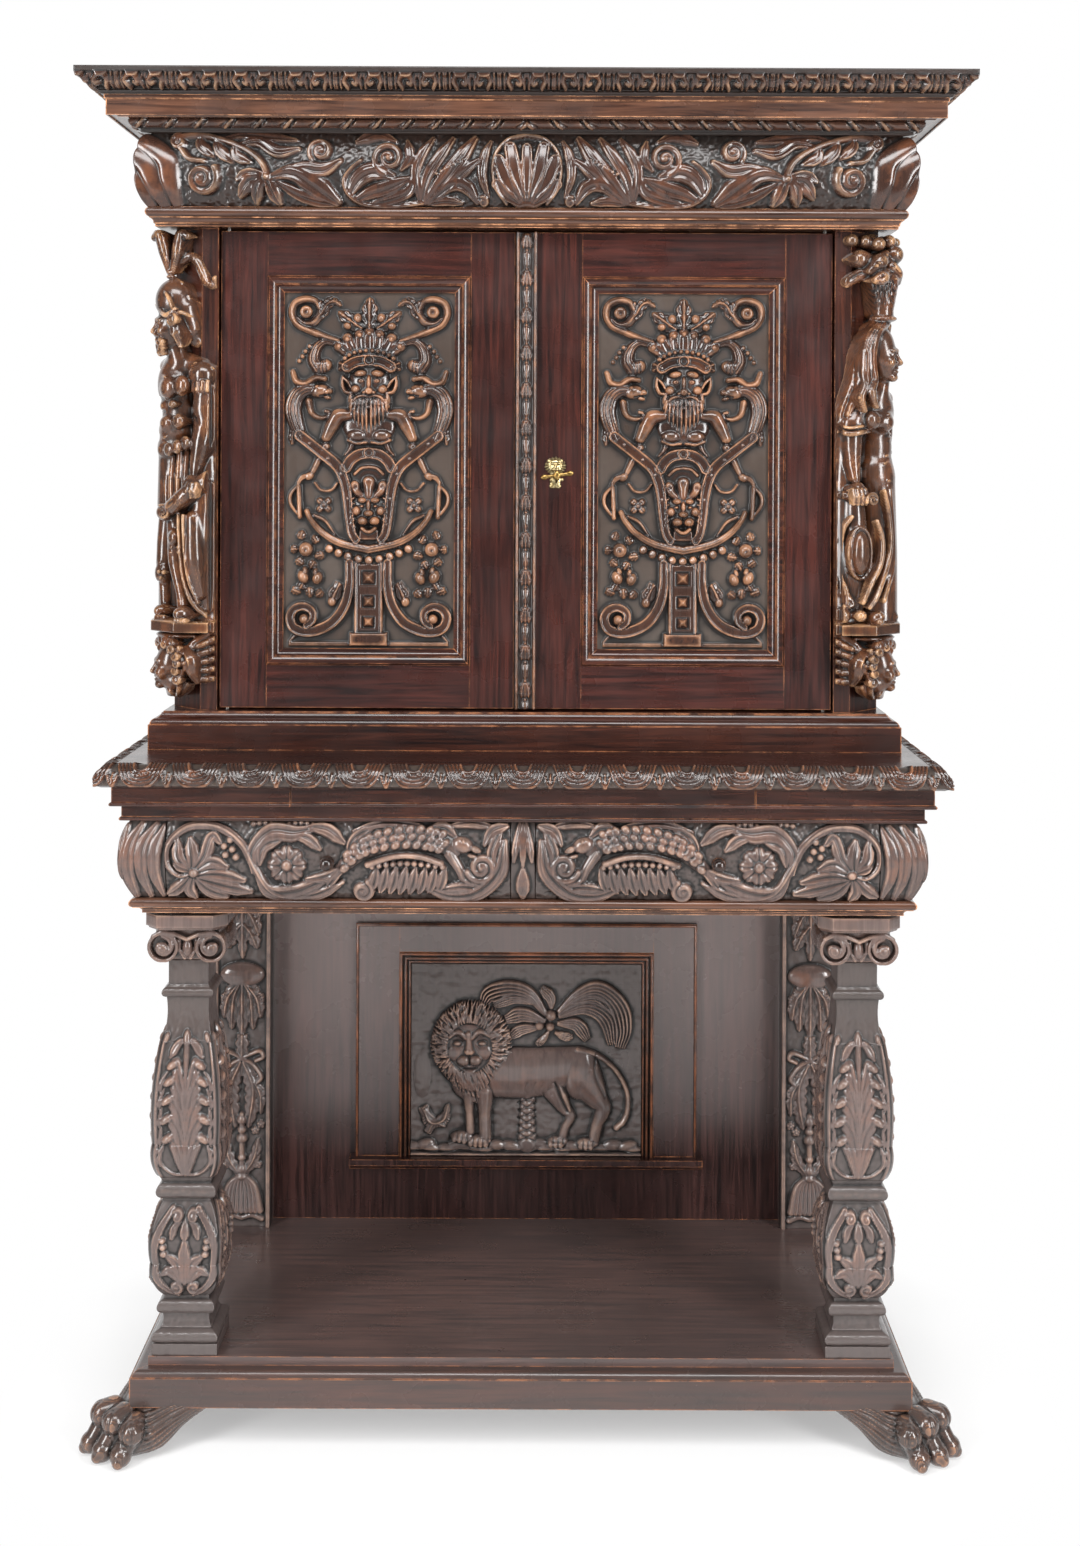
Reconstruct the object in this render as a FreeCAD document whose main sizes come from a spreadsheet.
"""Carved two-door cabinet on an open stand with drawers, columns and paw feet, in millimetres.

The front faces -Y, +X is to the right, +Z is up, and the origin is on the floor under the middle.
"""
import FreeCAD
import Part
import Sketcher
import math
import operator
import os
from types import SimpleNamespace

V = FreeCAD.Vector
doc = FreeCAD.newDocument("CabinetOnStand")
sheet = doc.addObject("Spreadsheet::Sheet", "Dimensions")

# Driving dimensions: alias, value in millimetres or degrees, meaning
DIMENSIONS = [
    ("core_half", 505, "half width of stand and cabinet behind their mouldings"),
    ("stand_front", 204, "front plane of the stand, measured forward from the middle"),
    ("cabinet_front", 105, "front plane of the cabinet, measured forward from the middle"),
    ("rear", 265, "back plane, measured backward from the middle"),
    ("inset", 24, "depth of a moulding behind the front plane"),
    ("fillet", 2, "small square step in a moulding"),
    ("plinth_bottom", 62, "height of the plinth rails above the floor"),
    ("plinth_top", 109, "top of the plinth rails"),
    ("plinth_out", 21, "projection of the plinth rails"),
    ("platform_top", 121, "top of the platform board"),
    ("column_axis", 456.5, "sideways place of a column"),
    ("column_forward", 158, "forward place of a column"),
    ("column_half", 44.25, "half width of a column base"),
    ("base_top", 197, "top of a column base"),
    ("bulb_top", 326, "top of the lower bulb of a column"),
    ("collar_top", 357, "top of the lower collar of a column"),
    ("vase_top", 603, "top of the vase of a column"),
    ("necking_bottom", 620, "top of the upper collar of a column"),
    ("capital_bottom", 653, "bottom of a capital"),
    ("abacus_bottom", 700, "bottom of the slab of a capital"),
    ("volute_radius", 24, "outer radius of a volute"),
    ("volute_spread", 29, "distance of a volute centre from the column axis"),
    ("volute_band", 3.2, "width of the raised band of a volute"),
    ("apron_bottom", 724, "underside of the stand's upper case"),
    ("apron_foot", 9, "projection of the apron moulding at its bottom"),
    ("apron_out", 20, "greatest projection of the apron moulding"),
    ("frieze_bottom", 746, "bottom of the drawers"),
    ("frieze_top", 853, "top of the drawers"),
    ("frieze_foot", 17, "projection of the drawer fronts at the bottom"),
    ("frieze_head", 23, "projection of the drawer fronts at the top"),
    ("frieze_bow", 104, "radius of the bulge of the drawer fronts"),
    ("fascia_split", 874, "top of the lower fascia"),
    ("lower_fascia_out", 33, "projection of the lower fascia"),
    ("upper_fascia_out", 44, "projection of the upper fascia"),
    ("table_bottom", 901, "underside of the table top"),
    ("table_top", 930, "upper face of the table top"),
    ("table_lip", 61, "projection of the table top"),
    ("block_edge", 478.6, "inner side of a corner block beside a drawer"),
    ("middle_half", 16, "half width of the block between the drawers"),
    ("slide_half", 309, "half width of the writing slide"),
    ("slide_length", 370, "length of the writing slide's board"),
    ("drawer_length", 400, "length of a drawer box"),
    ("drawer_height", 88, "height of a drawer's sides"),
    ("drawer_wall", 9, "thickness of a drawer's sides"),
    ("drawer_floor", 6, "thickness of a drawer's bottom"),
    ("knob_radius", 9, "radius of a drawer knob's foot"),
    ("knob_length", 20, "length of a drawer knob"),
    ("knob_shift", 14, "shift of a knob from the middle of its drawer, away from the cabinet's middle"),
    ("knob_seat", 17.5, "forward place of a knob's foot from the lower edge of its drawer front"),
    ("clearance", 1, "gap round a drawer front"),
    ("running_gap", 0.5, "gap under a sliding piece"),
    ("base_out", 22, "projection of the cabinet's plinth"),
    ("base_block_top", 965, "top of the flat of the cabinet's plinth"),
    ("body_bottom", 982, "top of the cabinet's plinth"),
    ("body_top", 1663, "underside of the architrave"),
    ("board", 20, "thickness of a case board"),
    ("back_board", 12, "thickness of the cabinet's back"),
    ("architrave_top", 1690, "top of the architrave"),
    ("torus_out", 30, "projection of the architrave's round"),
    ("upper_frieze_top", 1792, "top of the upper frieze"),
    ("upper_frieze_foot", 22, "projection of the upper frieze at the bottom"),
    ("upper_frieze_head", 32, "projection of the upper frieze at the top"),
    ("upper_frieze_bow", 103, "radius of the bulge of the upper frieze"),
    ("bed_top", 1808, "top of the ribbon moulding"),
    ("bed_out", 45, "projection of the ribbon moulding"),
    ("corona_top", 1836, "top of the corona"),
    ("corona_out", 72, "projection of the corona"),
    ("crown_top", 1868, "top of the cornice"),
    ("crown_out", 107, "projection of the cornice"),
    ("post_inner", 435.5, "inner side of a corner post"),
    ("post_front", 100, "front face of a corner post, forward from the middle"),
    ("post_depth", 60, "depth of a corner post"),
    ("post_chamfer", 46, "leg of the cut-off corner behind a carved figure"),
    ("figure_foot", 1108, "height of a figure's feet"),
    ("figure_height", 548, "height of a figure with its headdress"),
    ("figure_half", 41, "greatest half width of a figure"),
    ("figure_relief", 45, "greatest projection of a figure from its post"),
    ("slab", 16, "thickness of the ledge under a figure"),
    ("corbel_height", 92, "height of the carved bracket under the ledge"),
    ("door_front", 92, "front face of the doors, forward from the middle"),
    ("door_thickness", 24, "thickness of the doors"),
    ("door_outer", 433, "hinge edge of a door"),
    ("left_edge", 16.5, "meeting edge of the left door, left of the middle"),
    ("right_edge", 15, "meeting edge of the right door, left of the middle"),
    ("door_gap", 3, "gap above and below the doors"),
    ("panel_inner", 79, "inner edge of a door's panel opening"),
    ("panel_outer", 367, "outer edge of a door's panel opening"),
    ("panel_bottom", 1046, "bottom of a door's panel opening"),
    ("panel_top", 1597, "top of a door's panel opening"),
    ("panel_thickness", 12, "thickness of a door panel"),
    ("panel_recess", 8, "depth of a door panel behind the frame"),
    ("moulding_width", 23, "width of the moulding round a door panel"),
    ("moulding_rise", 13, "height of the moulding over a door panel"),
    ("astragal_half", 15.5, "half width of the strip over the meeting edges"),
    ("pivot_across", 423, "sideways place of a door pivot"),
    ("pivot_forward", 86, "forward place of a door pivot"),
    ("pin_radius", 3, "radius of a pivot pin"),
    ("pin_fit", 0.05, "running clearance of a pin"),
    ("socket_height", 10, "height of a pivot socket"),
    ("keyhole_across", 44, "sideways place of the keyhole"),
    ("keyhole_height", 1316, "height of the keyhole"),
    ("key_radius", 3, "radius of the key's shaft"),
    ("bit_reach", 11.5, "reach of the key's bit from its axis"),
    ("key_bar_half", 21, "half length of the key's cross bar"),
    ("key_bar_radius", 2.8, "radius of the key's cross bar"),
    ("mask_radius", 14, "radius of the mask on the escutcheon"),
    ("tab_half", 9, "half width of the escutcheon's tab round the keyhole"),
    ("lock_depth", 14, "depth of the lock case"),
    ("lock_wall", 2, "wall of the lock case"),
    ("bolt_height", 9, "height of the lock's bolt"),
    ("bolt_thickness", 8, "thickness of the lock's bolt"),
    ("shelf_height", 1364, "underside of the inner shelf"),
    ("shelf", 18, "thickness of the inner shelf"),
    ("pilaster_inner", 404.5, "inner side of a rear pilaster"),
    ("pilaster_outer", 495, "outer side of a rear pilaster"),
    ("pilaster_front", 205, "front face of a rear pilaster, backward from the middle"),
    ("back_front", 237, "front face of the stand's back board, backward from the middle"),
    ("niche_half", 272, "half width of the framed field on the back board"),
    ("niche_bottom", 225, "bottom of the framed field"),
    ("niche_top", 596, "top of the framed field"),
    ("ledge_half", 281, "half width of the ledge under the framed field"),
    ("relief_frame_half", 203, "half width of the frame round the relief"),
    ("relief_frame_top", 551, "top of the frame round the relief"),
    ("relief_frame_width", 19, "width of the frame round the relief"),
    ("foot_reach", 30, "reach of a paw's toe tips beyond the plinth's corner"),
    ("foot_splay", 52, "angle of a paw from the sideways direction, in degrees"),
    ("foot_shift", 11, "shift of a paw towards the side"),
    ("toe_radius", 14, "radius of a toe"),
]


class Size:
    """A length that knows both its value and the sheet expression that gives it."""

    def __init__(self, text, value):
        self.text = text
        self.value = value

    def __add__(self, other):
        return joined(self, "+", other)

    def __radd__(self, other):
        return joined(other, "+", self)

    def __sub__(self, other):
        return joined(self, "-", other)

    def __rsub__(self, other):
        return joined(other, "-", self)

    def __mul__(self, other):
        return joined(self, "*", other)

    def __rmul__(self, other):
        return joined(other, "*", self)

    def __truediv__(self, other):
        return joined(self, "/", other)

    def __neg__(self):
        return joined(0, "-", self)


SIGNS = {"+": operator.add, "-": operator.sub, "*": operator.mul, "/": operator.truediv}


def as_size(item):
    """Plain numbers become sizes too, so both can be mixed in one expression."""
    if isinstance(item, Size):
        return item
    return Size(f"({float(item)})", float(item))


def joined(left, sign, right):
    left = as_size(left)
    right = as_size(right)
    return Size(f"({left.text} {sign} {right.text})", SIGNS[sign](left.value, right.value))


def fill_sheet():
    """Write the driving dimensions into the sheet and return them by name."""
    sizes = {}
    for row, (alias, value, meaning) in enumerate(DIMENSIONS, start=1):
        sheet.set(f"A{row}", meaning)
        sheet.set(f"B{row}", str(value))
        sheet.setAlias(f"B{row}", alias)
        sizes[alias] = Size(f"Dimensions.{alias}", value)
    doc.recompute()
    return SimpleNamespace(**sizes)


d = fill_sheet()
nodes = {}

# Half circles in a volute, and how much an arc exceeds its half chord so that it stays drawable
VOLUTE_HALF_TURNS = 4
ARC_SLACK = 1.001

# Planes of the outlines: first axis, second axis and normal
FROM_FRONT = FreeCAD.Rotation(V(1, 0, 0), V(0, 0, 1), V(0, -1, 0))
FRONT_PROFILE = FreeCAD.Rotation(V(0, -1, 0), V(0, 0, 1), V(-1, 0, 0))
SIDE_PROFILE = FreeCAD.Rotation(V(-1, 0, 0), V(0, 0, 1), V(0, 1, 0))
PLAN = FreeCAD.Rotation()
ALONG_X = V(1, 0, 0)
ALONG_Y = V(0, 1, 0)
ALONG_Z = V(0, 0, 1)
FORWARD = V(0, -1, 0)
CHAMFER_ANGLE = 45
DIAGONAL = math.sqrt(0.5)


def bind(item, **sizes):
    """Bind properties of an object to sheet expressions."""
    for name, amount in sizes.items():
        item.setExpression(name.replace("__", "."), as_size(amount).text)


def place(item, across, along, height):
    """Bind an object's position."""
    bind(item, Placement__Base__x=across, Placement__Base__y=along, Placement__Base__z=height)


def as_node(label, item):
    """Give a finished piece its label and keep it for writing."""
    item.Label = label
    nodes[label] = item
    return item


def box(name, across, along, height):
    """Block between pairs of limits in X, Y and Z."""
    item = doc.addObject("Part::Box", name)
    bind(item, Length=across[1] - across[0], Width=along[1] - along[0], Height=height[1] - height[0])
    place(item, across[0], along[0], height[0])
    return item


def cylinder(name, radius, length, centre, direction=ALONG_Z):
    """Round bar from a centre point along a direction."""
    item = doc.addObject("Part::Cylinder", name)
    item.Placement.Rotation = FreeCAD.Rotation(ALONG_Z, direction)
    bind(item, Radius=radius, Height=length)
    place(item, *centre)
    return item


def sphere(name, radius, centre):
    item = doc.addObject("Part::Sphere", name)
    bind(item, Radius=radius)
    place(item, *centre)
    return item


def cut(name, base, *tools):
    """Take one or more tools away from a piece."""
    for count, tool in enumerate(tools):
        item = doc.addObject("Part::Cut", f"{name}_cut{count}")
        item.Base = base
        item.Tool = tool
        base = item
    return base


def common(name, first, second):
    item = doc.addObject("Part::MultiCommon", name)
    item.Shapes = [first, second]
    return item


def fused(name, pieces):
    item = doc.addObject("Part::MultiFuse", name)
    item.Shapes = pieces
    return item


def mirrored(name, source):
    """The same piece on the other side of the middle plane."""
    item = doc.addObject("Part::Mirroring", name)
    item.Source = source
    item.Normal = ALONG_X
    return item


def group(label, pieces):
    """Several separate solids in one node."""
    item = doc.addObject("Part::Compound", label)
    item.Links = pieces
    return as_node(label, item)


def arc_through(start, end, radius):
    """Arc from start to end of a counter-clockwise outline; a negative radius hollows it."""
    chord = end - start
    rise = math.sqrt(max(radius * radius - chord.Length ** 2 / 4, 0))
    left = V(-chord.y, chord.x, 0).normalize()
    centre = (start + end) * 0.5 + left * math.copysign(rise, radius)
    circle = Part.Circle(centre, V(0, 0, 1), abs(radius))
    if radius > 0:
        return Part.ArcOfCircle(circle, angle(start - centre), angle(end - centre))
    return Part.ArcOfCircle(circle, angle(end - centre), angle(start - centre))


def angle(vector):
    return math.atan2(vector.y, vector.x)


def sketch(name, outline, rotation, origin):
    """Closed outline of (u, v) corners; a third value makes the edge to that corner an arc."""
    item = doc.addObject("Sketcher::SketchObject", name)
    item.Placement.Rotation = rotation
    corners = [tuple(as_size(value) for value in corner) for corner in outline]
    points = [V(corner[0].value, corner[1].value, 0) for corner in corners]
    starts = []
    ends = []
    for here in range(len(corners)):
        after = (here + 1) % len(corners)
        if len(corners[after]) == 3:
            radius = corners[after][2]
            edge = item.addGeometry(arc_through(points[here], points[after], radius.value))
            forward = radius.value > 0
            starts.append((edge, 1 if forward else 2))
            ends.append((edge, 2 if forward else 1))
            number = item.addConstraint(Sketcher.Constraint("Radius", edge, abs(radius.value)))
            item.setExpression(f"Constraints[{number}]", f"abs({radius.text})")
        else:
            edge = item.addGeometry(Part.LineSegment(points[here], points[after]))
            starts.append((edge, 1))
            ends.append((edge, 2))
    for here in range(len(corners)):
        item.addConstraint(Sketcher.Constraint("Coincident", *ends[here - 1], *starts[here]))
        for kind, axis, amount in zip(("DistanceX", "DistanceY"), (-2, -1), corners[here]):
            if abs(amount.value) < 1e-9:
                item.addConstraint(Sketcher.Constraint("PointOnObject", *starts[here], axis))
            else:
                rule = Sketcher.Constraint(kind, -1, 1, *starts[here], amount.value)
                item.setExpression(f"Constraints[{item.addConstraint(rule)}]", amount.text)
    place(item, *origin)
    return item


def extruded(name, outline, rotation, origin, direction, length):
    """Straight run of an outline."""
    item = doc.addObject("Part::Extrusion", name)
    item.Base = sketch(f"{name}_outline", outline, rotation, origin)
    item.DirMode = "Custom"
    item.Dir = direction
    item.Solid = True
    bind(item, LengthFwd=length)
    return item


def turned(name, outline, origin, direction):
    """Outline of (radius, length) corners turned about its own second axis."""
    item = doc.addObject("Part::Revolution", name)
    item.Source = sketch(f"{name}_outline", outline, PLAN, (0, 0, 0))
    item.Axis = ALONG_Y
    item.Angle = 360
    item.Solid = True
    item.Placement.Rotation = FreeCAD.Rotation(ALONG_Y, direction)
    place(item, *origin)
    return item


def trapezoid(name, low_half, high_half, low, high, rotation, origin, depth):
    """Wedge whose half width changes from low_half to high_half, used to saw mitres."""
    item = doc.addObject("Part::Wedge", name)
    item.Placement.Rotation = rotation
    bind(item, Xmin=-low_half, Xmax=low_half, X2min=-high_half, X2max=high_half, Ymin=low, Ymax=high)
    bind(item, Zmin=depth[0], Z2min=depth[0], Zmax=depth[1], Z2max=depth[1])
    place(item, *origin)
    return item


# Saws for the 45 degree corners of the mouldings, one for the stand and one for the cabinet
SAW_OUT = 200
SAW_IN = 60


def corner_saw(name, front):
    return trapezoid(name, d.core_half + SAW_OUT, d.core_half - SAW_IN, -front - SAW_OUT, -front + SAW_IN,
                     PLAN, (0, 0, 0), (0, d.crown_top + SAW_OUT))


stand_saw = corner_saw("StandSaw", d.stand_front)
cabinet_saw = corner_saw("CabinetSaw", d.cabinet_front)


def front_run(name, outline, front, level, inset):
    """Uncut run of a moulding along the front, over the full width."""
    reach = d.core_half + SAW_IN * 2
    return extruded(name, outline, FRONT_PROFILE, (-reach, -front + inset, level), ALONG_X, reach * 2)


def side_run(name, outline, front, level, inset):
    """Uncut run of a moulding along the left side, to the back."""
    start = -front - SAW_IN * 2
    return extruded(name, outline, SIDE_PROFILE, (-d.core_half + inset, start, level), ALONG_Y,
                    d.rear - start)


def mitred(name, outline, front, level, inset, saw):
    """Moulding round the front and both sides, mitred at the corners: front, left and right runs."""
    front_piece = common(f"{name}_front", front_run(f"{name}_run", outline, front, level, inset), saw)
    left = cut(f"{name}_left", side_run(f"{name}_side", outline, front, level, inset), saw)
    return [front_piece, left, mirrored(f"{name}_right", left)]


def mitred_node(label, outline, front, level, inset, saw):
    return group(label, mitred(label, outline, front, level, inset, saw))


def bead(outline, out, low, high):
    """Add a half-round bead between two heights of a profile."""
    outline.append((out, low))
    outline.append((out, high, (high - low) * 0.52))


def feet():
    """Front paws splayed outward and plain rear blocks, all cut flat on the floor."""
    corner = d.core_half + d.plinth_out
    front = d.stand_front + d.plinth_out
    splay = math.radians(d.foot_splay.value)
    outward = V(-math.cos(splay), -math.sin(splay), 0)
    sideways = V(outward.y, -outward.x, 0)

    def spot(out, aside, height):
        """Point at a distance from the plinth's corner along and across the paw."""
        shifted = aside + d.foot_shift
        return (-corner + out * outward.x + shifted * sideways.x,
                -front + out * outward.y + shifted * sideways.y, height)

    low = d.plinth_bottom
    leg_half = d.toe_radius * 2
    reach = d.foot_reach
    leg_outline = [(-reach * 3.6, low - d.fillet * 4), (-reach, 0, -reach * 3.2), (reach * 0.8, 0),
                   (reach * 0.6, low * 1.1, reach * 2.5), (0, low * 1.2), (-reach * 3.6, low)]
    slanted = FreeCAD.Rotation(outward, V(0, 0, 1), outward.cross(V(0, 0, 1)))
    pieces = [extruded("PawLeg", leg_outline, slanted, spot(0, -leg_half, 0), sideways, leg_half * 2)]
    for toe, shift in enumerate((-1.5, -0.5, 0.5, 1.5)):
        aside = d.toe_radius * 1.45 * shift
        drawn_back = d.toe_radius * 0.35 * abs(shift)
        knuckle = spot(reach * 0.6 - drawn_back, aside, low * 1.06)
        tip = spot(reach - drawn_back, aside * 1.02, d.toe_radius * 0.75)
        pieces.append(sphere(f"Knuckle{toe}", d.toe_radius, knuckle))
        pieces.append(sphere(f"Tip{toe}", d.toe_radius * 0.88, tip))
        pieces.append(bar_between(f"Toe{toe}", knuckle, tip, d.toe_radius, d.toe_radius * 0.88))
    below = box("BelowFloor", (-corner * 1.5, 0), (-front * 2, d.rear), (-low, 0))
    rail_space = box("RailSpace", (-corner, 0), (-front, d.rear), (low, d.platform_top * 1.2))
    left = cut("Paw", fused("PawWhole", pieces), below, rail_space)
    as_node("paw_foot_left", left)
    as_node("paw_foot_right", mirrored("PawRight", left))
    rear_half = d.toe_radius * 2
    rear_foot = box("RearFoot", (-d.core_half + d.fillet, -d.core_half + d.fillet + rear_half * 2),
                    (d.rear - d.fillet - rear_half * 2, d.rear - d.fillet), (0, low))
    group("rear_feet", [rear_foot, mirrored("RearFootRight", rear_foot)])


def bar_between(name, start, end, start_radius, end_radius):
    """Tapered round bar between two points."""
    first = V(*(as_size(value).value for value in start))
    last = V(*(as_size(value).value for value in end))
    item = doc.addObject("Part::Cone", name)
    item.Placement.Rotation = FreeCAD.Rotation(ALONG_Z, last - first)
    item.Height = (last - first).Length
    bind(item, Radius1=start_radius, Radius2=end_radius)
    place(item, *start)
    return item


def platform():
    """Plinth rails with a rounded upper edge, and the board that they carry."""
    out = d.inset + d.plinth_out
    height = d.plinth_top - d.plinth_bottom
    outline = [(0, 0), (out, 0), (out, height - d.fillet * 4), (out - d.fillet, height - d.fillet * 4),
               (out - d.fillet * 5, height, d.fillet * 5), (0, height)]
    rails = mitred("PlinthRails", outline, d.stand_front, d.plinth_bottom, d.inset, stand_saw)
    rails.append(box("PlinthBack", (-d.core_half + d.inset, d.core_half - d.inset),
                     (d.rear - d.inset, d.rear),
                     (d.plinth_bottom, d.plinth_top)))
    group("plinth_rails", rails)
    thickness = d.platform_top - d.plinth_top
    nosing = [(0, 0), (0, thickness, thickness * 0.7)]
    as_node("platform_board", slab("Platform", 0, nosing, d.plinth_top))


def slab(name, lip, edge, level):
    """Board with the same moulded edge at the front and sides; edge gives (inward, height) corners."""
    depth = d.stand_front + d.rear + lip
    width = d.core_half * 2 + lip * 2
    height = as_size(edge[-1][1])
    front_edge = [(depth - corner[0], *corner[1:]) for corner in edge]
    across = extruded(f"{name}_front", [(0, 0), *front_edge, (0, height)], FRONT_PROFILE,
                      (-width / 2, d.rear, level), ALONG_X, width)
    right_edge = [(width / 2 - corner[0], *corner[1:]) for corner in edge]
    left_edge = mirrored_edge(right_edge)
    along = extruded(f"{name}_sides", [*right_edge, *left_edge], FROM_FRONT, (0, d.rear, level), FORWARD,
                     depth)
    return common(name, across, along)


def mirrored_edge(edge):
    """The left side of a symmetric outline, from top to bottom, with the same arcs."""
    corners = []
    radius_after = [corner[2:] for corner in edge[1:]] + [()]
    for corner, radius in zip(reversed(edge), reversed(radius_after)):
        corners.append((-corner[0], corner[1], *radius))
    return corners


def square_turning(name, edge, origin):
    """Square baluster sawn to one outline from the front and again from the side."""
    outline = [*edge, *mirrored_edge(edge)]
    across, along, height = origin
    reach = d.column_half * 2
    seen_front = extruded(f"{name}_from_front", outline, FROM_FRONT, (across, along + reach, height),
                          FORWARD, reach * 2)
    seen_side = extruded(f"{name}_from_side", outline, FRONT_PROFILE, (across - reach, along, height),
                         ALONG_X, reach * 2)
    return common(name, seen_front, seen_side)


def column():
    """Square baluster column: stepped base, bulb, collar, vase, upper collar and necking."""
    wide = d.column_half
    slim = d.column_half * 0.78
    collar = d.column_half * 0.84
    neck = d.column_half * 0.61
    step = d.fillet
    base = d.base_top - d.platform_top
    bulb = d.bulb_top - d.platform_top
    lower_collar = d.collar_top - d.platform_top
    vase = d.vase_top - d.platform_top
    upper_collar = d.necking_bottom - d.platform_top
    top = d.capital_bottom - d.platform_top
    edge = [
        (wide, 0), (wide, base * 0.2), (wide - step * 2, base * 0.2),
        (wide - step * 2, base * 0.4, base * 0.115),
        (slim, base * 0.44), (slim - step, base * 0.7, -base * 0.3), (slim, base * 0.7),
        (slim, base * 0.92, base * 0.13),
        (slim - step * 2, base * 0.94), (slim - step * 2, base),
        (wide, base + (bulb - base) * 0.37, d.column_half * 1.25),
        (slim - step, bulb, d.column_half * 2.9),
        (slim - step, bulb + step * 2), (collar - step * 2, bulb + step * 2),
        (collar - step * 2, lower_collar - step * 3, (lower_collar - step * 3 - bulb - step * 2) * 0.53),
        (collar - step * 2, lower_collar - step * 2), (slim, lower_collar),
        (wide * 0.97, lower_collar + (vase - lower_collar) * 0.2, d.column_half * 1.5),
        (wide * 0.78, lower_collar + (vase - lower_collar) * 0.76, d.column_half * 12),
        (wide * 0.66, vase, -d.column_half * 3),
        (slim - step * 2, vase),
        (slim - step * 2, upper_collar - step * 2, (upper_collar - step * 2 - vase) * 0.53),
        (neck, upper_collar), (neck, top)]
    shaft = square_turning("Column", edge, (-d.column_axis, -d.column_forward, d.platform_top))
    as_node("column_left", shaft)
    as_node("column_right", mirrored("ColumnRight", shaft))


def capitals():
    """Slab, cushion and two rolled volutes on each column."""
    low = d.capital_bottom
    high = d.abacus_bottom
    roll_half = d.column_half * 0.95
    axis = -d.column_axis
    middle = -d.column_forward
    cushion = box("Cushion", (axis - roll_half * 0.72, axis + roll_half * 0.72),
                  (middle - roll_half * 0.9, middle + roll_half * 0.9), (low, high))
    slab_low = box("AbacusLow", (axis - roll_half, axis + roll_half),
                   (middle - roll_half, middle + roll_half), (high, high + d.fillet * 5))
    slab_high = box("AbacusHigh", (axis - roll_half - d.fillet * 4, axis + roll_half + d.fillet * 4),
                    (middle - roll_half - d.fillet * 2, middle + roll_half + d.fillet * 2),
                    (high + d.fillet * 5, d.apron_bottom))
    pieces = [cushion, slab_low, slab_high]
    for side in (-1, 1):
        centre = (axis + d.volute_spread * side, middle - roll_half, low + d.volute_radius)
        pieces.append(cylinder(f"Roll{side + 1}", d.volute_radius * 0.86, roll_half * 2, centre, ALONG_Y))
        for face, start in (("Front", middle - roll_half - d.fillet * 2), ("Back", middle + roll_half)):
            pieces.append(spiral_band(f"Volute{face}{side + 1}", side, (centre[0], start, centre[2])))
            eye = (centre[0], start, centre[2])
            pieces.append(cylinder(f"Eye{face}{side + 1}", d.volute_radius * 0.2, d.fillet * 2, eye,
                                   ALONG_Y))
    capital = fused("Capital", pieces)
    group("column_capitals", [capital, mirrored("CapitalRight", capital)])


def spiral_band(name, side, origin):
    """Volute: a band of half circles that shrink at each half turn, drawn as one closed outline."""
    step = d.volute_band * 1.5
    outer = [(0, d.volute_radius)]
    inner = [(0, d.volute_radius - d.volute_band)]
    for turn in range(VOLUTE_HALF_TURNS):
        way = 1 if turn % 2 else -1
        outer_radius = d.volute_radius - step * (turn * 0.5 + 0.25)
        inner_radius = outer_radius - d.volute_band * (0.95 - 0.08 * turn)
        outer.append((0, outer[-1][1] + outer_radius * 2 * way, outer_radius * ARC_SLACK))
        inner.append((0, inner[-1][1] + inner_radius * 2 * way, inner_radius * ARC_SLACK))
    way_back = [inner[-1][:2]]
    for corner, after in zip(reversed(inner[:-1]), reversed(inner)):
        way_back.append((*corner[:2], -after[2]))
    facing = FROM_FRONT if side < 0 else SIDE_PROFILE
    return extruded(name, outer + way_back, facing, origin, ALONG_Y, d.fillet * 2)


def stand_back():
    """Rear pilasters, the board behind them and the framed relief in the niche."""
    pilaster = box("Pilaster", (-d.pilaster_outer, -d.pilaster_inner), (d.pilaster_front, d.back_front),
                   (d.platform_top, d.apron_bottom))
    group("rear_pilasters", [pilaster, mirrored("PilasterRight", pilaster)])
    as_node("stand_back_board", box("BackBoard", (-d.pilaster_outer, d.pilaster_outer),
                                    (d.back_front, d.back_front + d.board),
                                    (d.platform_top, d.apron_bottom)))
    field = d.fillet * 5
    field_front = d.back_front - field
    stile = box("NicheStile", (-d.niche_half, -d.relief_frame_half), (field_front, d.back_front),
                (d.niche_bottom, d.niche_top))
    rail = box("NicheRail", (-d.relief_frame_half, d.relief_frame_half), (field_front, d.back_front),
               (d.relief_frame_top, d.niche_top))
    ledge_outline = [(0, 0), (field * 1.6, 0), (field * 2.6, field * 0.8, -field * 1.2),
                     (field * 2.6, field * 1.8), (0, field * 1.8)]
    ledge = extruded("Ledge", ledge_outline, FRONT_PROFILE,
                     (-d.ledge_half, d.back_front, d.niche_bottom - field * 1.8), ALONG_X, d.ledge_half * 2)
    group("niche_frame", [stile, mirrored("NicheStileRight", stile), rail, ledge])
    rise = field * 1.9
    width = d.relief_frame_width
    profile = [(0, 0), (width, 0), (width, rise * 0.45), (width * 0.75, rise * 0.45),
               (width * 0.5, rise * 0.8, -rise * 0.5),
               (width * 0.3, rise * 0.8), (width * 0.3, rise), (0, rise)]
    group("relief_frame",
          picture_frame("ReliefFrame", 0, d.relief_frame_half, d.niche_bottom, d.relief_frame_top,
                        d.back_front, profile, width, open_bottom=True))
    inner = d.relief_frame_half - width
    as_node("relief_panel", box("ReliefPanel", (-inner, inner), (d.back_front - rise * 0.4, d.back_front),
                                (d.niche_bottom, d.relief_frame_top - width)))


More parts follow.
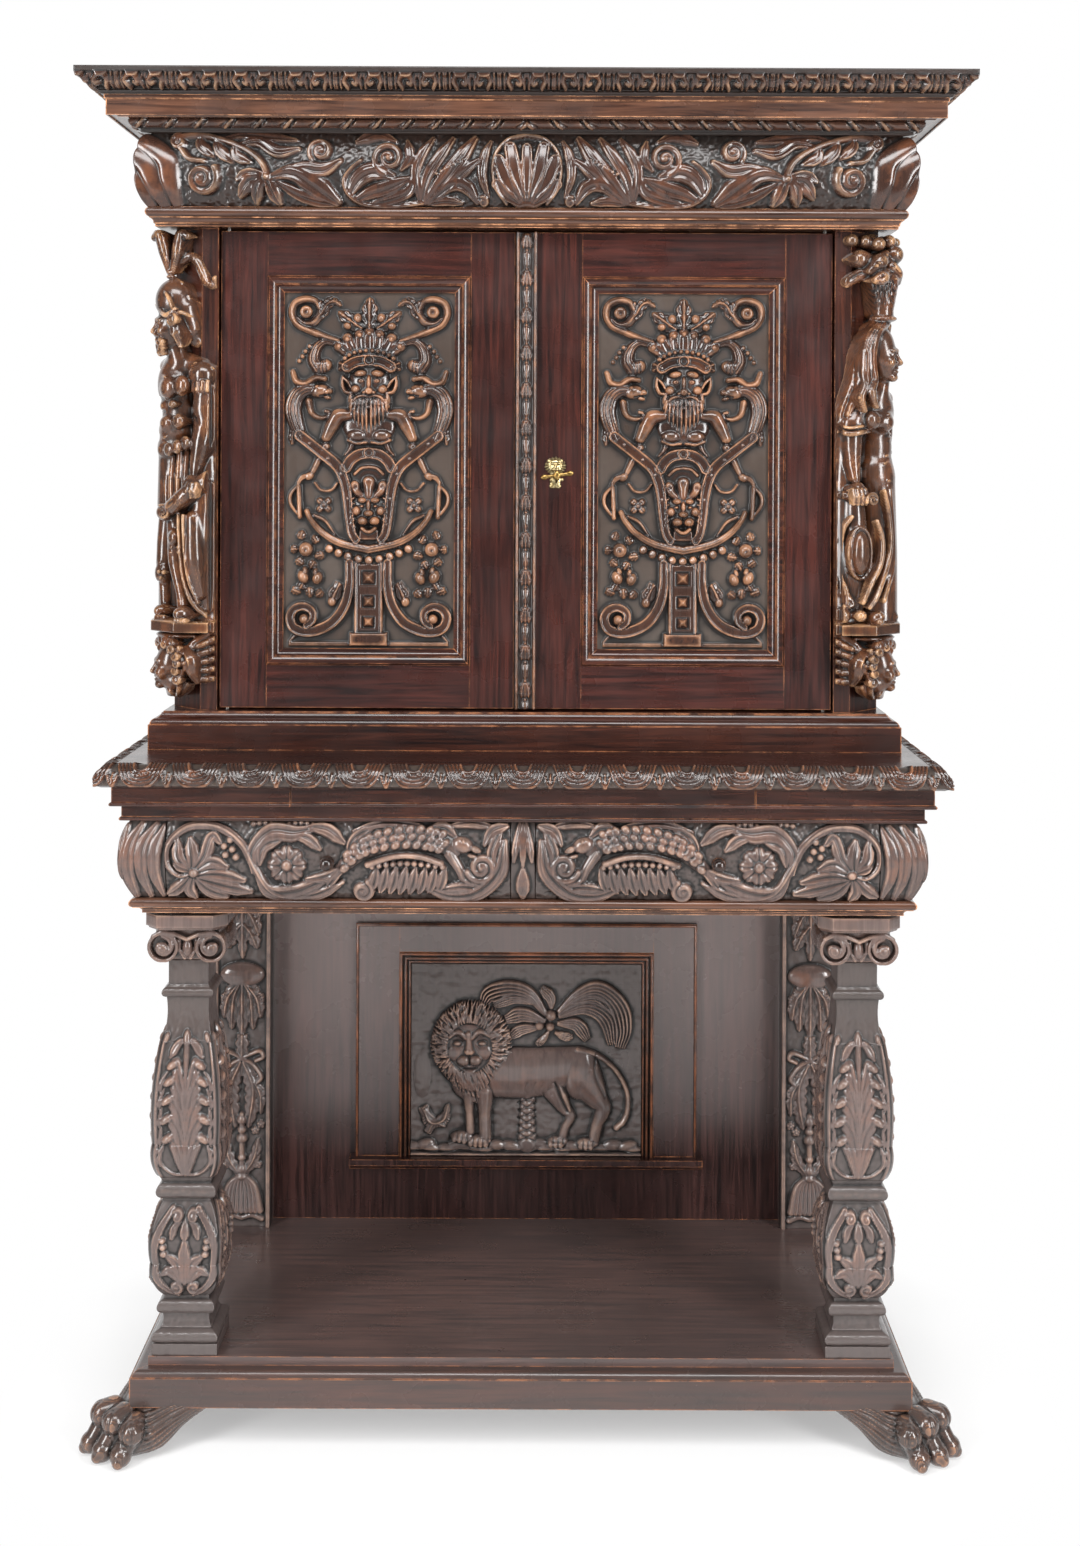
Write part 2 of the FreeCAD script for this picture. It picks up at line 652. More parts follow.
def picture_frame(name, centre, half, low, high, back, profile, width, open_bottom=False):
    """Mitred frame round a field; the profile runs inward from the outer edge and forward from the back."""
    saw_in = width * 1.5
    saw_depth = (-back - SAW_IN, -back + SAW_IN)
    top_saw = trapezoid(f"{name}_top_saw", half - saw_in, half, high - saw_in, high, FROM_FRONT,
                        (centre, 0, 0), saw_depth)
    length = half * 2
    start = centre - half
    down = FreeCAD.Rotation(V(0, 0, -1), V(0, -1, 0), V(-1, 0, 0))
    inward = FreeCAD.Rotation(V(1, 0, 0), V(0, -1, 0), V(0, 0, -1))
    top_run = extruded(f"{name}_top_run", profile, down, (start, back, high), ALONG_X, length)
    pieces = [common(f"{name}_top", top_run, top_saw)]
    saws = [top_saw]
    if not open_bottom:
        bottom_saw = trapezoid(f"{name}_bottom_saw", half, half - saw_in, low, low + saw_in, FROM_FRONT,
                               (centre, 0, 0), saw_depth)
        upward = FreeCAD.Rotation(V(0, 0, 1), V(0, -1, 0), V(1, 0, 0))
        bottom_run = extruded(f"{name}_bottom_run", profile, upward, (start, back, low), ALONG_X, length)
        pieces.append(common(f"{name}_bottom", bottom_run, bottom_saw))
        saws.append(bottom_saw)
    left_run = extruded(f"{name}_left_run", profile, inward, (start, back, low), ALONG_Z, high - low)
    outward = FreeCAD.Rotation(V(-1, 0, 0), V(0, -1, 0), V(0, 0, 1))
    right_run = extruded(f"{name}_right_run", profile, outward, (centre + half, back, low), ALONG_Z,
                         high - low)
    pieces.append(cut(f"{name}_left", left_run, *saws))
    pieces.append(cut(f"{name}_right", right_run, *saws))
    return pieces


def bulge(foot, head, bow, height, back):
    """Profile of a bulging frieze from its flat back."""
    return [(0, 0), (back + foot, 0), (back + head, height, bow), (0, height)]


def stand_case():
    """Case of the stand: apron, frieze with its blocks, fascias and inner boards."""
    inset = d.inset
    step = d.fillet
    apron = d.frieze_bottom - d.apron_bottom
    foot = inset + d.apron_foot
    out = inset + d.apron_out
    outline = [(0, 0), (foot, 0), (foot, step * 2), (out - step, apron * 0.42, -step * 6),
               (out, apron * 0.42)]
    bead(outline, out, apron * 0.46, apron * 0.96)
    outline += [(out - step * 1.5, apron), (0, apron)]
    mitred_node("apron_moulding", outline, d.stand_front, d.apron_bottom, inset, stand_saw)
    inner = d.core_half - inset
    case_front = -d.stand_front + inset
    case_back = d.rear - d.back_board * 1.5
    bottom = box("CaseBottom", (-inner, inner), (case_front, d.rear), (d.apron_bottom, d.frieze_bottom))
    back = box("CaseBack", (-inner, inner), (case_back, d.rear), (d.frieze_bottom, d.table_bottom))
    group("case_boards", [bottom, back])

    height = d.frieze_top - d.frieze_bottom
    block = d.core_half - d.block_edge
    profile = bulge(d.frieze_foot, d.frieze_head, d.frieze_bow, height, block)
    reach = d.core_half + SAW_IN
    from_front = extruded("CornerBlockFront", profile, FRONT_PROFILE,
                          (-reach, -d.stand_front + block, d.frieze_bottom),
                          ALONG_X, reach - d.block_edge)
    from_side = extruded("CornerBlockSide", profile, SIDE_PROFILE,
                         (-d.block_edge, -d.stand_front - SAW_IN, d.frieze_bottom),
                         ALONG_Y, SAW_IN + block)
    corner = common("CornerBlock", from_front, from_side)
    middle = extruded("MiddleBlock", bulge(d.frieze_foot, d.frieze_head, d.frieze_bow, height, inset),
                      FRONT_PROFILE,
                      (-d.middle_half, case_front, d.frieze_bottom), ALONG_X, d.middle_half * 2)
    group("frieze_blocks", [corner, mirrored("CornerBlockRight", corner), middle])
    side = extruded("SideFrieze", bulge(d.frieze_foot, d.frieze_head, d.frieze_bow, height, inset),
                    SIDE_PROFILE,
                    (-inner, -d.stand_front + block, d.frieze_bottom), ALONG_Y,
                    d.rear + d.stand_front - block)
    group("side_frieze_boards", [side, mirrored("SideFriezeRight", side)])

    low = d.fascia_split - d.frieze_top
    outline = [(0, 0)]
    bead(outline, inset + d.lower_fascia_out, 0, step * 2.5)
    outline += [(inset + d.lower_fascia_out - step * 0.5, step * 2.5),
                (inset + d.lower_fascia_out - step * 0.5, low), (0, low)]
    mitred_node("lower_fascia", outline, d.stand_front, d.frieze_top, inset, stand_saw)
    fascia = upper_fascia_outline(d.table_bottom - d.fascia_split)
    runs = mitred("UpperFascia", fascia, d.stand_front, d.fascia_split, inset, stand_saw)
    gap = d.slide_half + d.clearance * 0.8
    window = box("SlideWindow", (-gap, gap), (-d.rear * 2, 0), (d.frieze_top, d.table_top))
    reach_box = box("LeftHalf", (-d.rear * 4, 0), (-d.rear * 2, 0), (d.frieze_top, d.table_top))
    left_piece = cut("FasciaLeft", common("FasciaLeftHalf", runs[0], reach_box), window)
    group("upper_fascia", [left_piece, mirrored("FasciaRight", left_piece), *runs[1:]])

    dust = box("DustBoard", (-inner, inner), (case_front, case_back),
               (d.frieze_top, d.frieze_top + step * 4))
    divider = box("DrawerDivider", (-d.middle_half / 2, d.middle_half / 2), (case_front, case_back),
                  (d.frieze_bottom, d.frieze_top))
    guide = box("DrawerGuide", (-inner, -inner + step * 4), (-d.stand_front + block, case_back),
                (d.frieze_bottom, d.frieze_bottom + step * 8))
    bearer_outline = [(0, 0), (step * 20, 0), (step * 20, d.fascia_split - d.frieze_top - step * 4),
                      (step * 10, d.fascia_split - d.frieze_top - step * 4),
                      (step * 10, d.table_bottom - d.frieze_top - step * 4),
                      (0, d.table_bottom - d.frieze_top - step * 4)]
    bearer = extruded("SlideBearer", bearer_outline, FROM_FRONT,
                      (-d.slide_half - d.clearance - step * 10, case_front, d.frieze_top + step * 4),
                      ALONG_Y,
                      case_back - case_front)
    group("case_guides", [divider, guide, mirrored("DrawerGuideRight", guide),
                          dust, bearer, mirrored("SlideBearerRight", bearer)])
    as_node("table_top", slab("TableTop", d.table_lip, [(step * 4, 0), (0, step * 2), (0, step * 4),
                                                        (step * 8, d.table_top - d.table_bottom, step * 13)],
                              d.table_bottom))


def upper_fascia_outline(height):
    """Flat fascia with a bead along its lower edge, shared by the case and the slide's front."""
    out = d.inset + d.upper_fascia_out
    outline = [(0, 0)]
    bead(outline, out, 0, d.fillet * 2.5)
    return outline + [(out - d.fillet * 0.5, d.fillet * 2.5), (out - d.fillet * 0.5, height), (0, height)]


def writing_slide():
    """Pull-out board behind the middle of the upper fascia."""
    case_front = -d.stand_front + d.inset
    low = d.fascia_split + d.running_gap
    strip = extruded("SlideFront", upper_fascia_outline(d.table_bottom - d.running_gap - low), FRONT_PROFILE,
                     (-d.slide_half, case_front, low), ALONG_X, d.slide_half * 2)
    board = box("SlideBoard", (-d.slide_half, d.slide_half), (case_front, case_front + d.slide_length),
                (low, low + d.board))
    group("writing_slide", [strip, board])


def drawer(side_name, side):
    """Bulging front with a turned knob, and a box of four boards; side is -1 on the left."""
    low = d.frieze_bottom + d.clearance
    height = d.frieze_top - d.clearance - low
    inner = d.middle_half + d.clearance
    outer = d.block_edge - d.clearance
    front_plane = -d.stand_front
    start = inner if side > 0 else -outer
    front = extruded(f"DrawerFront_{side_name}",
                     bulge(d.frieze_foot, d.frieze_head, d.frieze_bow, height, 0),
                     FRONT_PROFILE, (start, front_plane, low), ALONG_X, outer - inner)
    as_node(f"{side_name}_drawer_front", front)
    box_outer = outer - d.fillet * 3.5
    back_face = front_plane + d.drawer_length
    floor_low = d.frieze_bottom + d.running_gap
    walls = (floor_low, floor_low + d.drawer_height)
    floor = (floor_low + d.drawer_wall, floor_low + d.drawer_wall + d.drawer_floor)
    limits = ((inner, inner + d.drawer_wall), (box_outer - d.drawer_wall, box_outer))
    pieces = []
    for count, span in enumerate(limits):
        pieces.append(box(f"DrawerSide_{side_name}{count}", flipped(span, side), (front_plane, back_face),
                          walls))
    between = flipped((inner + d.drawer_wall, box_outer - d.drawer_wall), side)
    pieces.append(box(f"DrawerBack_{side_name}", between, (back_face - d.drawer_wall, back_face), walls))
    pieces.append(box(f"DrawerBottom_{side_name}", between, (front_plane, back_face - d.drawer_wall), floor))
    group(f"{side_name}_drawer_box", pieces)
    radius = d.knob_radius
    length = d.knob_length
    ninth = radius / 9
    knob_outline = [(0, 0), (radius, 0), (radius, length * 0.15, ninth * 2), (ninth * 5, length * 0.2),
                    (ninth * 4, length * 0.45, -ninth * 8), (ninth * 8, length * 0.6, ninth * 6),
                    (ninth * 6, length * 0.9, ninth * 6), (0, length, ninth * 10)]
    knob_centre = ((inner + outer) / 2 + d.knob_shift) * side
    seat = front_plane - d.frieze_foot - d.knob_seat
    knob = turned(f"Knob_{side_name}", knob_outline, (knob_centre, seat, d.frieze_bottom + height / 2),
                  FORWARD)
    as_node(f"{side_name}_drawer_knob", cut(f"KnobSeat_{side_name}", knob, front))


def flipped(span, side):
    """Limits in X on the right side, or their mirror on the left."""
    if side > 0:
        return span
    return (-span[1], -span[0])


def cabinet_case():
    """Plinth, floor, sides, back, ceiling, posts, shelf and the whole entablature."""
    inset = d.inset
    step = d.fillet
    front = d.cabinet_front
    height = d.body_bottom - d.table_top
    flat = d.base_block_top - d.table_top
    out = inset + d.base_out
    outline = [(0, 0), (out, 0), (out, flat), (out - step, flat), (out - step, flat + step),
               (out - step * 4, flat + step * 4, step * 4), (out - step * 5, flat + step * 4),
               (out - step * 8, height - step, -step * 5), (out - step * 9, height - step),
               (out - step * 9, height), (0, height)]
    mitred_node("cabinet_plinth", outline, front, d.table_top, inset, cabinet_saw)
    inner = d.core_half - inset
    case_front = -front + inset
    as_node("cabinet_floor", box("CabinetFloor", (-inner, inner), (case_front, d.rear),
                                 (d.body_bottom - d.board, d.body_bottom)))
    post_back = -d.post_front + d.post_depth
    back_face = d.rear - d.back_board
    side = box("CabinetSide", (-d.core_half, -d.core_half + d.board), (post_back, back_face),
               (d.body_bottom, d.body_top))
    shelf_half = d.core_half - d.board
    cleat = box("Cleat", (-shelf_half, -shelf_half + d.board), (post_back, back_face),
                (d.shelf_height - d.board, d.shelf_height))
    group("cabinet_sides", [side, mirrored("CabinetSideRight", side), cleat, mirrored("CleatRight", cleat)])
    as_node("cabinet_back",
            box("CabinetBack", (-d.core_half, d.core_half), (back_face, d.rear),
                (d.body_bottom, d.body_top)))
    bolt_across, bolt_along, _ = bolt_centre(d.body_top)
    slot = d.pin_radius + d.clearance
    levels = (d.body_top, d.body_top + d.board)
    strip = (case_front, bolt_along + slot)
    group("cabinet_ceiling", [box("CeilingBoard", (-inner, inner), (strip[1], d.rear), levels),
                              box("CeilingStripLeft", (-inner, bolt_across - slot), strip, levels),
                              box("CeilingStripRight", (bolt_across + slot, inner), strip, levels)])

    corner = d.core_half - d.post_inner
    plan = [(0, 0), (corner - d.post_chamfer, 0), (corner, d.post_chamfer), (corner, d.post_depth),
            (0, d.post_depth)]
    post = extruded("Post", plan, PLAN, (d.post_inner, -d.post_front, d.body_bottom), ALONG_Z,
                    d.body_top - d.body_bottom)
    group("corner_posts", [post, mirrored("PostLeft", post)])
    as_node("interior_shelf", box("Shelf", (-shelf_half, shelf_half), (post_back, back_face),
                                  (d.shelf_height, d.shelf_height + d.shelf)))

    height = d.architrave_top - d.body_top
    low = inset + d.torus_out - step * 7
    outline = [(0, 0), (low, 0), (low, step * 2), (low + step, step * 2), (low + step, step * 3),
               (low + step * 3, height * 0.42, -step * 4), (low + step * 3.5, height * 0.42)]
    bead(outline, low + step * 3.5, height * 0.46, height * 0.96)
    outline += [(low + step * 3, height), (0, height)]
    mitred_node("architrave_moulding", outline, front, d.body_top, inset, cabinet_saw)
    height = d.upper_frieze_top - d.architrave_top
    mitred_node("upper_frieze",
                bulge(d.upper_frieze_foot, d.upper_frieze_head, d.upper_frieze_bow, height, inset),
                front, d.architrave_top, inset, cabinet_saw)
    height = d.bed_top - d.upper_frieze_top
    out = inset + d.bed_out
    outline = [(0, 0), (out - step * 6, 0), (out - step * 6, step * 2), (out - step * 4, step * 2),
               (out - step * 4, step * 3),
               (out, height - step, height * 0.7), (out, height), (0, height)]
    mitred_node("ribbon_moulding", outline, front, d.upper_frieze_top, inset, cabinet_saw)
    height = d.corona_top - d.bed_top
    out = inset + d.corona_out
    outline = [(0, 0), (out - step * 7, 0), (out - step * 6, step), (out - step, step), (out - step, 0),
               (out, 0),
               (out, height - step * 3), (out + step, height - step * 3), (out + step, height), (0, height)]
    mitred_node("cornice_corona", outline, front, d.bed_top, inset, cabinet_saw)
    height = d.crown_top - d.corona_top
    out = inset + d.crown_out
    low = inset + d.corona_out + step * 3
    outline = [(0, 0), (low, 0)]
    bead(outline, low, step * 0.5, step * 3)
    outline += [(low + step, step * 3), (low + step, step * 4), ((low + out) / 2, height * 0.48, step * 7),
                (out - step, height - step * 3.5, -step * 9), (out, height - step * 3.5), (out, height),
                (0, height)]
    mitred_node("cornice_crown", outline, front, d.corona_top, inset, cabinet_saw)
    dust_top = d.crown_top - step * 3
    dust = box("TopBoard", (-inner, inner), (case_front, d.rear), (dust_top - d.back_board, dust_top))
    rail = box("CorniceBack", (-inner, inner), (d.rear - d.board, d.rear),
               (d.body_top + d.board, dust_top - d.back_board))
    group("dust_board", [dust, rail])


# Cross-sections of the corner figures from the feet up: height, width and relief as shares of the whole
WARRIOR = [(0.0, 0.80, 0.62), (0.06, 0.70, 0.60), (0.22, 0.74, 0.74), (0.36, 0.86, 0.86),
           (0.46, 0.74, 0.78), (0.58, 0.96, 0.90),
           (0.67, 1.0, 0.86), (0.72, 0.55, 0.60), (0.80, 0.60, 0.84), (0.87, 0.62, 0.84),
           (0.94, 0.52, 0.62), (1.0, 0.30, 0.30)]
MAIDEN = [(0.0, 0.78, 0.62), (0.06, 0.72, 0.62), (0.22, 0.80, 0.76), (0.38, 0.90, 0.86), (0.48, 0.72, 0.74),
          (0.60, 0.92, 0.88),
          (0.67, 0.94, 0.80), (0.72, 0.55, 0.60), (0.80, 0.60, 0.82), (0.86, 0.66, 0.74),
          (0.93, 0.80, 0.80), (1.0, 0.52, 0.5)]
BRACKET = [(0.0, 0.42, 0.30), (0.22, 0.58, 0.62), (0.5, 0.86, 0.92), (0.78, 0.96, 1.0), (1.0, 1.0, 1.05)]


def carved_body(name, sections, foot, height):
    """Rounded body on the right post, lofted through ellipses and cut flat against the post's chamfer."""
    across = d.core_half - d.post_chamfer / 2
    along = -d.post_front + d.post_chamfer / 2
    rings = []
    for count, (level, width, relief) in enumerate(sections):
        ring = doc.addObject("Part::Ellipse", f"{name}Ring{count}")
        wide = d.figure_half * width
        deep = d.figure_relief * relief
        upright = deep.value > wide.value
        bind(ring, MajorRadius=deep if upright else wide, MinorRadius=wide if upright else deep)
        ring.Placement.Rotation = FreeCAD.Rotation(ALONG_Z, CHAMFER_ANGLE + (90 if upright else 0))
        place(ring, across, along, foot + height * level)
        rings.append(ring)
    loft = doc.addObject("Part::Loft", f"{name}Loft")
    loft.Sections = rings
    loft.Solid = True
    reach = d.figure_half * 3
    behind = box(f"{name}Behind", (0, reach * 2), (0, reach), (0, height * 1.2))
    behind.Placement.Rotation = FreeCAD.Rotation(ALONG_Z, CHAMFER_ANGLE)
    place(behind, across - reach * DIAGONAL, along - reach * DIAGONAL, foot - height * 0.1)
    return cut(name, loft, behind)


def corner_carvings():
    """A figure on a ledge over a carved bracket, on the cut-off corner of each post."""
    maiden = carved_body("Maiden", MAIDEN, d.figure_foot, d.figure_height)
    warrior = carved_body("Warrior", WARRIOR, d.figure_foot, d.figure_height)
    as_node("maiden_figure", maiden)
    as_node("warrior_figure", mirrored("WarriorLeft", warrior))
    ledge_bottom = d.figure_foot - d.slab
    width = d.core_half - d.post_inner
    out = d.base_out
    plan = [(d.fillet, 0), (d.fillet, -out * 0.6), (width * 0.55, -out * 1.25), (width + out, width * 0.33),
            (width + out * 0.35, d.post_depth), (width, d.post_depth), (width, d.post_chamfer),
            (width - d.post_chamfer, 0)]
    ledge = extruded("Ledge", plan, PLAN, (d.post_inner, -d.post_front, ledge_bottom), ALONG_Z, d.slab)
    bracket = carved_body("Bracket", BRACKET, ledge_bottom - d.corbel_height, d.corbel_height)
    group("corner_corbels", [ledge, mirrored("LedgeLeft", ledge), bracket, mirrored("BracketLeft", bracket)])


def bolt_centre(height):
    """Axis of the left door's upright bolt."""
    return (-d.panel_inner * 0.6, -d.door_front + d.door_thickness + d.fillet * 3, height)


def doors():
    """Framed doors with carved panels, pivots, lock, key and bolt."""
    low = d.body_bottom + d.door_gap
    high = d.body_top - d.door_gap
    depth = (-d.door_front, -d.door_front + d.door_thickness)
    keyhole_at = (d.keyhole_across, -d.door_front - d.board, d.keyhole_height)
    for name, side, edge in (("left", -1, d.left_edge), ("right", 1, -d.right_edge)):
        stile_blank = box(f"HingeStileBlank_{name}", flipped((d.panel_outer, d.door_outer), side),
                          depth, (low, high))
        hinge_stile = cut(f"HingeStile_{name}", stile_blank, *sockets(name, side, "Mortise"))
        meeting = box(f"MeetingStile_{name}", flipped((edge, d.panel_inner), side), depth, (low, high))
        if side > 0:
            bore = cylinder("KeyBore", d.key_radius + d.clearance, d.board * 4, keyhole_at, ALONG_Y)
            meeting = cut("MeetingStileBored", meeting, bore, keyhole_slot("StileSlot"))
        opening = flipped((d.panel_inner, d.panel_outer), side)
        rails = [box(f"BottomRail_{name}", opening, depth, (low, d.panel_bottom)),
                 box(f"TopRail_{name}", opening, depth, (d.panel_top, high))]
        group(f"{name}_door_frame", [hinge_stile, meeting, *rails])
        panel_front = depth[0] + d.panel_recess
        as_node(f"{name}_door_panel",
                box(f"Panel_{name}", opening, (panel_front, panel_front + d.panel_thickness),
                    (d.panel_bottom, d.panel_top)))
        width = d.moulding_width
        rise = d.moulding_rise
        profile = [(0, 0), (width, 0), (width, rise * 0.3), (width * 0.8, rise * 0.34),
                   (width * 0.55, rise * 0.66, -rise * 0.6),
                   (width * 0.46, rise * 0.66), (width * 0.46, rise * 0.8), (width * 0.1, rise, rise * 0.9),
                   (0, rise * 0.8)]
        half = (d.panel_outer - d.panel_inner) / 2
        centre = (d.panel_outer + d.panel_inner) / 2 * side
        group(f"{name}_door_moulding",
              picture_frame(f"DoorMoulding_{name}", centre, half, d.panel_bottom, d.panel_top,
                            panel_front, profile, width))
        plates = []
        for count, block in enumerate(sockets(name, side, "Socket")):
            bore = cylinder(f"SocketBore_{name}{count}", d.pin_radius + d.pin_fit, d.body_top,
                            (d.pivot_across * side, -d.pivot_forward, d.body_bottom - d.board))
            plates.append(cut(f"SocketPlate_{name}{count}", block, bore))
        group(f"{name}_pivot_plates", plates)
    pins = []
    for side in (-1, 1):
        for count, base in enumerate((d.body_bottom, d.body_top - d.socket_height - d.door_gap * 0.7)):
            pins.append(cylinder(f"PivotPin{side + 1}{count}", d.pin_radius,
                                 d.socket_height + d.door_gap * 0.7,
                                 (d.pivot_across * side, -d.pivot_forward, base)))
    group("door_pivot_pins", pins)
    strip_outline = [(0, 0), (d.astragal_half * 2 - d.fillet * 0.5, 0),
                     (d.astragal_half * 2 - d.fillet * 0.5, d.fillet * 2),
                     (d.astragal_half * 1.6, d.fillet * 2), (d.astragal_half * 1.6, d.fillet * 3),
                     (d.astragal_half * 0.4, d.fillet * 3, d.astragal_half),
                     (d.astragal_half * 0.4, d.fillet * 2),
                     (0, d.fillet * 2)]
    seen_down = FreeCAD.Rotation(V(1, 0, 0), V(0, -1, 0), V(0, 0, -1))
    as_node("astragal",
            extruded("Astragal", strip_outline, seen_down, (-d.right_edge, -d.door_front, low), ALONG_Z,
                     high - low))
    lock(keyhole_at)
    left_door_bolt(high)


def sockets(name, side, kind):
    """Blocks for the pivots at the bottom and top of a hinge stile."""
    blocks = []
    across = flipped((d.pivot_across - d.socket_height * 1.2, d.pivot_across + d.socket_height * 0.75), side)
    along = (-d.pivot_forward - d.pin_radius * 1.4, -d.pivot_forward + d.pin_radius * 2.4)
    bottom = d.body_bottom + d.door_gap
    top = d.body_top - d.door_gap
    for count, span in enumerate(((bottom, bottom + d.socket_height), (top - d.socket_height, top))):
        blocks.append(box(f"{kind}_{name}{count}", across, along, span))
    return blocks


def keyhole_slot(name):
    """Slot under the round of a keyhole, for the key's bit."""
    half = d.key_radius * 0.7
    return box(name, (d.keyhole_across - half, d.keyhole_across + half), (-d.door_front - d.board, 0),
               (d.keyhole_height - d.bit_reach - d.clearance, d.keyhole_height))


def lock(keyhole_at):
    """Escutcheon, hollow lock case on the back of the right door, its bolt and the key."""
    plate_back = -d.door_front
    mask = d.keyhole_height + d.bit_reach
    plate_front = plate_back - d.fillet * 1.5
    plate = cylinder("EscutcheonMask", d.mask_radius, plate_back - plate_front,
                     (d.keyhole_across, plate_front, mask), ALONG_Y)
    ball = sphere("DomeWhole", d.mask_radius * 1.15,
                  (d.keyhole_across, plate_back + d.mask_radius * 0.57, mask))
    behind = box("DomeBack", (0, d.panel_inner * 2), (plate_back, 0), (d.body_bottom, d.body_top))
    dome = cut("EscutcheonDome", ball, behind)
    tab = box("EscutcheonTab", (d.keyhole_across - d.tab_half, d.keyhole_across + d.tab_half),
              (plate_front, plate_back), (d.keyhole_height - d.bit_reach - d.fillet * 4, mask))
    bore = cylinder("EscutcheonBore", d.key_radius + d.clearance, d.board * 4, keyhole_at, ALONG_Y)
    as_node("escutcheon",
            cut("Escutcheon", fused("EscutcheonWhole", [plate, dome, tab]), bore,
                keyhole_slot("EscutcheonSlot")))

    wall = d.lock_wall
    case_front = -d.door_front + d.door_thickness
    case_back = case_front + d.lock_depth
    across = (d.fillet * 2, d.keyhole_across * 1.7)
    height = (d.keyhole_height - d.board * 1.5, d.keyhole_height + d.board)
    bolt_low = d.keyhole_height - d.bit_reach - d.clearance * 1.5 - d.bolt_height
    bolt_along = (case_front + wall + d.clearance, case_front + wall + d.clearance + d.bolt_thickness)
    case = box("LockCaseOuter", across, (case_front, case_back), height)
    cavity = box("LockCavity", (across[0] + wall, across[1] - wall), (case_front + wall, case_back - wall),
                 (height[0] + wall, height[1] - wall))
    slot = box("BoltSlot", (across[0] - wall, across[0] + wall * 2),
               (bolt_along[0] - d.running_gap, bolt_along[1] + d.running_gap),
               (bolt_low - d.running_gap, bolt_low + d.bolt_height + d.running_gap))
    key_bore = cylinder("LockKeyBore", d.key_radius + d.clearance,
                        d.door_thickness + d.board + wall + d.clearance, keyhole_at,
                        ALONG_Y)
    key_slot = cut("LockKeySlot", keyhole_slot("LockSlotWhole"),
                   box("LockSlotEnd", (0, d.panel_inner * 2), (case_front + wall, 0),
                       (d.body_bottom, d.body_top)))
    as_node("lock_case", cut("LockCase", case, cavity, slot, key_bore, key_slot))
    as_node("lock_bolt",
            box("LockBolt", (-d.right_edge + d.running_gap, d.keyhole_across + d.bit_reach), bolt_along,
                (bolt_low, bolt_low + d.bolt_height)))
    keeper_across = (-d.left_edge - d.board, -d.left_edge - d.fillet)
    keeper = box("KeeperBlock", keeper_across, (case_front, case_back),
                 (bolt_low - d.fillet * 3, bolt_low + d.bolt_height + d.fillet * 3))
    keeper_slot = box("KeeperSlot", (keeper_across[0] - d.fillet, keeper_across[1] + d.fillet),
                      (bolt_along[0] - d.running_gap, bolt_along[1] + d.running_gap),
                      (bolt_low - d.running_gap, bolt_low + d.bolt_height + d.running_gap))
    nodes["keeper"] = cut("Keeper", keeper, keeper_slot)

    tip = case_back - wall - d.clearance
    handle = -d.door_front - d.board * 1.6
    shaft = cylinder("KeyShaft", d.key_radius, tip - handle, (d.keyhole_across, handle, d.keyhole_height),
                     ALONG_Y)
    collar = cylinder("KeyCollar", d.key_radius * 1.6, d.fillet * 2,
                      (d.keyhole_across, handle + d.fillet * 3, d.keyhole_height), ALONG_Y)
    boss = cylinder("KeyBoss", d.key_radius * 1.9, d.key_radius * 2.6,
                    (d.keyhole_across, handle - d.key_radius * 1.4, d.keyhole_height), ALONG_Y)
    bar = cylinder("KeyBar", d.key_bar_radius, d.key_bar_half * 2,
                   (d.keyhole_across - d.key_bar_half, handle, d.keyhole_height), ALONG_X)
    ends = []
    for end_name, end_at in (("Left", -d.key_bar_half), ("Right", d.key_bar_half - d.key_radius)):
        ends.append(cylinder(f"KeyEnd{end_name}", d.key_bar_radius * 1.3, d.key_radius,
                             (d.keyhole_across + end_at, handle, d.keyhole_height), ALONG_X))
    bit = box("KeyBit", (d.keyhole_across - d.fillet * 0.7, d.keyhole_across + d.fillet * 0.7),
              (tip - d.bolt_thickness, tip),
              (d.keyhole_height, d.keyhole_height + d.bit_reach))
    as_node("key", fused("Key", [shaft, collar, boss, bar, *ends, bit]))


def left_door_bolt(door_top):
    """Round bolt on the back of the left door with two guides, and the keeper of the lock's bolt."""
    length = d.board * 5
    bolt = cylinder("UprightBolt", d.pin_radius, length, bolt_centre(door_top - length - d.fillet))
    grip = sphere("BoltGrip", d.pin_radius * 1.5,
                  (bolt_centre(0)[0], bolt_centre(0)[1] + d.pin_radius * 1.6, door_top - length * 0.55))
    as_node("left_door_bolt", fused("LeftBolt", [bolt, grip]))
    across, along, _ = bolt_centre(0)
    face = -d.door_front + d.door_thickness
    guides = []
    for count, level in enumerate((door_top - length * 0.95, door_top - length * 0.25)):
        block = box(f"BoltGuide{count}", (across - d.pin_radius * 2.2, across + d.pin_radius * 2.2),
                    (face, along + d.pin_radius * 2), (level, level + d.board * 0.7))
        bore = cylinder(f"BoltGuideBore{count}", d.pin_radius + d.pin_fit, d.board * 2,
                        (across, along, level - d.board * 0.5))
        guides.append(cut(f"BoltGuideBored{count}", block, bore))
    group("left_door_fittings", [nodes.pop("keeper"), *guides])


def write_parts():
    """Check every object, then write each node to its own file."""
    doc.recompute()
    for item in doc.Objects:
        if {"Invalid", "Error"} & set(item.State):
            raise RuntimeError(f"{item.Name} failed: {item.State}")
    os.makedirs("parts", exist_ok=True)
    for label, item in nodes.items():
        if item.Shape.isNull() or not item.Shape.isValid() or not item.Shape.Solids:
            raise RuntimeError(f"{label} has no sound shape")
        item.Shape.exportStep(os.path.join("parts", f"{label}.step"))
    print(len(nodes), "nodes written")


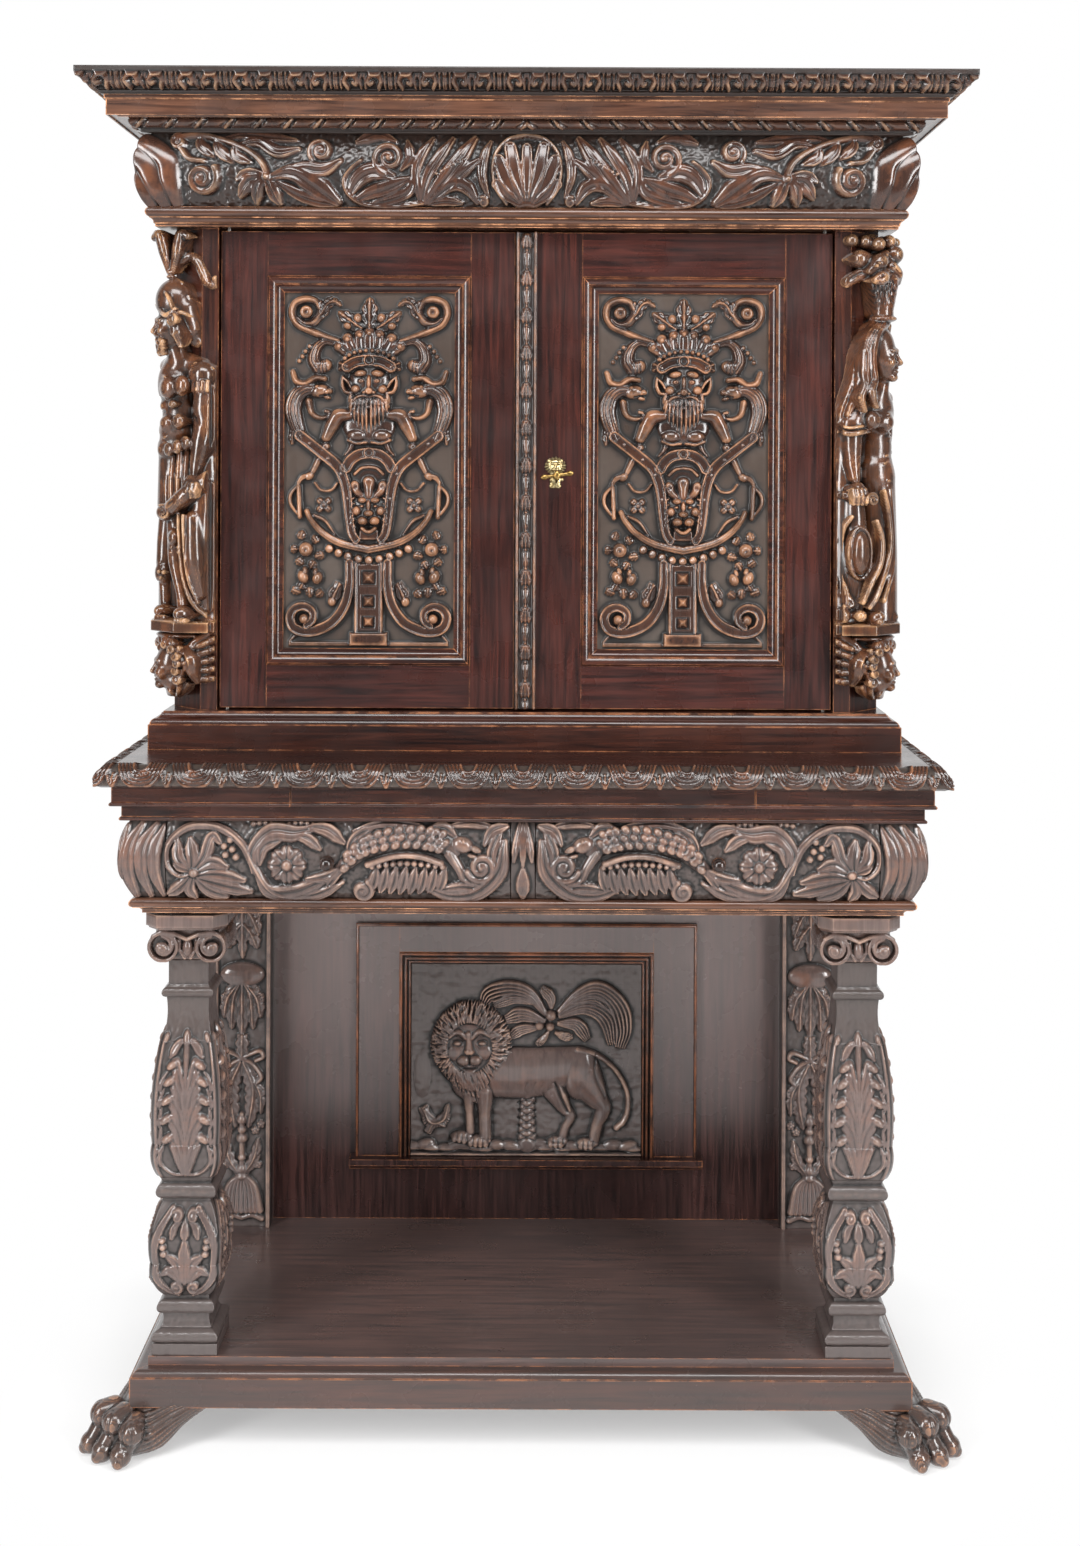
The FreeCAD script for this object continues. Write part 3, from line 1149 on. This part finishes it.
feet()
platform()
column()
capitals()
stand_back()
stand_case()
writing_slide()
drawer("left", -1)
drawer("right", 1)
cabinet_case()
corner_carvings()
doors()
write_parts()
